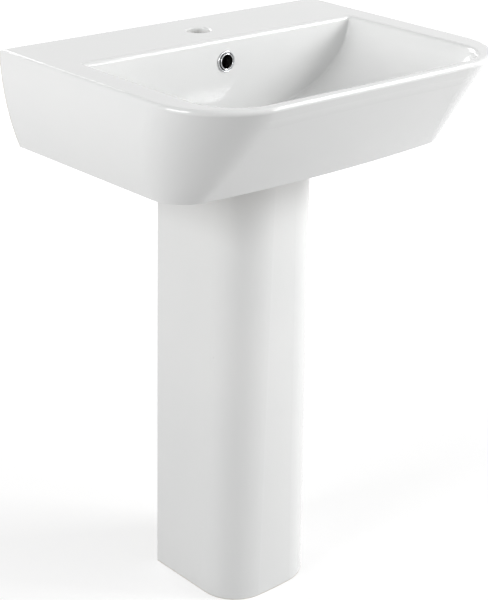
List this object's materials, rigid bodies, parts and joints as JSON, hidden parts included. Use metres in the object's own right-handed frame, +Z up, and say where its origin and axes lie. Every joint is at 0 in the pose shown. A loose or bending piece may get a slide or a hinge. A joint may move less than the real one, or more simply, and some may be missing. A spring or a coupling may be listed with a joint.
{
  "type": "pedestal sink",
  "caption": "Ceramic hand basin with a raked front on an open-backed pedestal, with overflow, press-down plug, bottle trap and wall outlet.",
  "frame": {"origin": "point on the floor where the wall plane meets the plane of symmetry", "axes": "+Z up, +Y into the wall, -Y towards the person at the sink, +X to that person's right"},
  "size_m": [0.57, 0.4383, 0.85],
  "materials": {
    "glazed_ceramic": "gloss white glaze",
    "chrome": "polished",
    "brass": "machined",
    "rubber": "matt",
    "white_plastic": "moulded",
    "steel": "drawn wire"
  },
  "bodies": {
    "sink": {"basin": "glazed_ceramic", "pedestal": "glazed_ceramic", "pedestal_pads": "rubber", "overflow_ring": "chrome", "waste_body": "chrome", "waste_flange_seal": "rubber", "waste_under_seal": "rubber", "waste_washer": "white_plastic", "waste_backnut": "brass", "plug_cartridge": "white_plastic", "plug_spring": "steel", "trap_top_nut": "chrome", "trap_top_seal": "rubber", "trap_inlet_tube": "chrome", "trap_inlet_nut": "chrome", "trap_inlet_seal": "rubber", "trap_body": "chrome", "trap_outlet_nut": "chrome", "trap_outlet_seal": "rubber", "outlet_pipe": "chrome"},
    "plug": {"plug_cap": "chrome", "plug_seal": "rubber", "plug_stem": "brass"},
    "cup_seal": {"trap_cup_seal": "rubber"},
    "trap_cup": {"trap_cup": "chrome"}
  },
  "joints": [
    {"name": "plug_press", "type": "slide", "parent": "sink", "child": "plug", "axis": [0, 0, -1], "range_m": [0, 0.008], "stiffness_N_per_m": 400, "springref_m": -0.006, "deforming": ["plug_spring"]},
    {"name": "cup_drop", "type": "slide", "parent": "sink", "child": "cup_seal", "axis": [0, 0, -1], "range_m": [0, 0.016]},
    {"name": "cup_turn", "type": "hinge", "parent": "cup_seal", "child": "trap_cup", "pos_m": [0, -0.195, 0.5], "axis": [0, 0, -1], "range_deg": [0, 1440]}
  ],
  "couplings": [
    {"joint": "cup_drop", "follows": "cup_turn", "m_per_rad": 0.000636}
  ]
}
